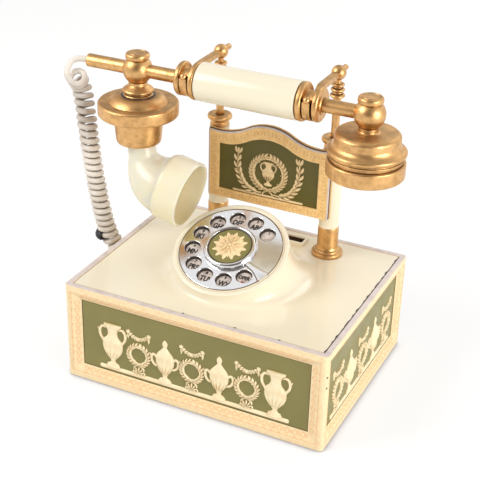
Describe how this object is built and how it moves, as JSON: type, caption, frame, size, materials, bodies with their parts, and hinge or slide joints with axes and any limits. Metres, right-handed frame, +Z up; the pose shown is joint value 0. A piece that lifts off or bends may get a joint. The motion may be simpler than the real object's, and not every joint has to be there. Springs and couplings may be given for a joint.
{
  "type": "rotary telephone",
  "caption": "Rotary dial telephone on a panelled rectangular case, with upright posts and hooks, a humped backplate and a lift-off handset with a horn mouthpiece and coiled cord.",
  "frame": {"origin": "middle of the felt under the case, on the table", "axes": "+X to the right as seen from the front, +Y from the front to the back, +Z up"},
  "size_m": [0.2634, 0.16, 0.2294],
  "materials": {
    "case_paint": "satin cream paint with faint orange wear in the grooves",
    "olive_paint": "satin olive paint",
    "relief_cream": "satin cream moulded relief",
    "cream_plastic": "glossy cream plastic",
    "brass": "satin brass, lightly tarnished",
    "chrome": "bright chrome",
    "number_card": "brown grey enamel with black digits and letters",
    "bright_steel": "plain zinc plated steel",
    "felt": "dark green felt",
    "cord_cover": "off-white flexible cover",
    "black_plastic": "black moulded plastic",
    "winding": "taped copper winding"
  },
  "bodies": {
    "base": {"case_frame": "case_paint", "backplate": "case_paint", "front_panel": "olive_paint", "rear_panel": "olive_paint", "left_panel": "olive_paint", "right_panel": "olive_paint", "backplate_panel": "olive_paint", "case_reliefs": "relief_cream", "backplate_relief": "relief_cream", "top_cover": "cream_plastic", "post_tubes": "cream_plastic", "left_post_foot": "brass", "right_post_foot": "brass", "post_caps": "brass", "backplate_clips": "brass", "gongs": "brass", "finger_stop": "chrome", "number_plate": "number_card", "base_plate": "bright_steel", "base_screws": "bright_steel", "dial_frame": "bright_steel", "cradle_springs": "bright_steel", "ringer_bracket": "bright_steel", "base_felt": "felt", "cord_lead": "cord_cover", "cord_coil": "cord_cover", "cord_tail": "cord_cover", "cord_grommet": "black_plastic", "line_inlet": "black_plastic", "cord_sleeve": "black_plastic", "pulse_contacts": "black_plastic", "hook_switch": "black_plastic", "network_block": "black_plastic", "ringer_coils": "winding"},
    "dial": {"finger_wheel": "chrome", "hub_ring": "chrome", "cameo_disc": "olive_paint", "dial_shaft": "bright_steel", "dial_spring": "bright_steel", "main_gear": "bright_steel"},
    "governor": {"governor": "bright_steel"},
    "handset": {"handset_tube": "brass", "handle_sleeve": "cream_plastic", "handset_collars": "brass", "left_ball": "brass", "right_ball": "brass", "ball_caps": "brass", "transmitter_cup": "brass", "transmitter_capsule": "black_plastic", "horn": "cream_plastic", "horn_bell": "cream_plastic", "receiver_shell": "brass", "receiver_capsule": "black_plastic", "ear_cap": "brass"},
    "cradle": {"left_plunger": "brass", "right_plunger": "brass", "left_hook": "brass", "right_hook": "brass", "plunger_yoke": "bright_steel"},
    "clapper": {"clapper": "bright_steel"}
  },
  "joints": [
    {"name": "dial_turn", "type": "hinge", "parent": "base", "child": "dial", "pos_m": [0, -0.018, 0.1035], "axis": [0, 0.4003, -0.9164], "range_deg": [0, 330], "stiffness_Nm_per_rad": 0.01, "springref_deg": -57.3},
    {"name": "governor_spin", "type": "hinge", "parent": "base", "child": "governor", "pos_m": [-0.02079, -0.029, 0.0987], "axis": [0, 0.4003, -0.9164], "range_deg": [-1660, 10]},
    {"name": "handset_lift", "type": "slide", "parent": "base", "child": "handset", "axis": [0, 0, 1], "range_m": [0, 0.045]},
    {"name": "cradle_rise", "type": "slide", "parent": "base", "child": "cradle", "axis": [0, 0, 1], "range_m": [0, 0.006], "stiffness_N_per_m": 100, "springref_m": 0.01, "deforming": ["cradle_springs"]},
    {"name": "clapper_swing", "type": "hinge", "parent": "base", "child": "clapper", "pos_m": [-0.012, -0.011, 0.022], "axis": [0, 0, 1], "range_deg": [-4, 4], "stiffness_Nm_per_rad": 0.002}
  ],
  "couplings": [
    {"joint": "governor_spin", "follows": "dial_turn", "ratio": -5},
    {"joint": "cradle_rise", "follows": "handset_lift", "ratio": 0.13333}
  ]
}
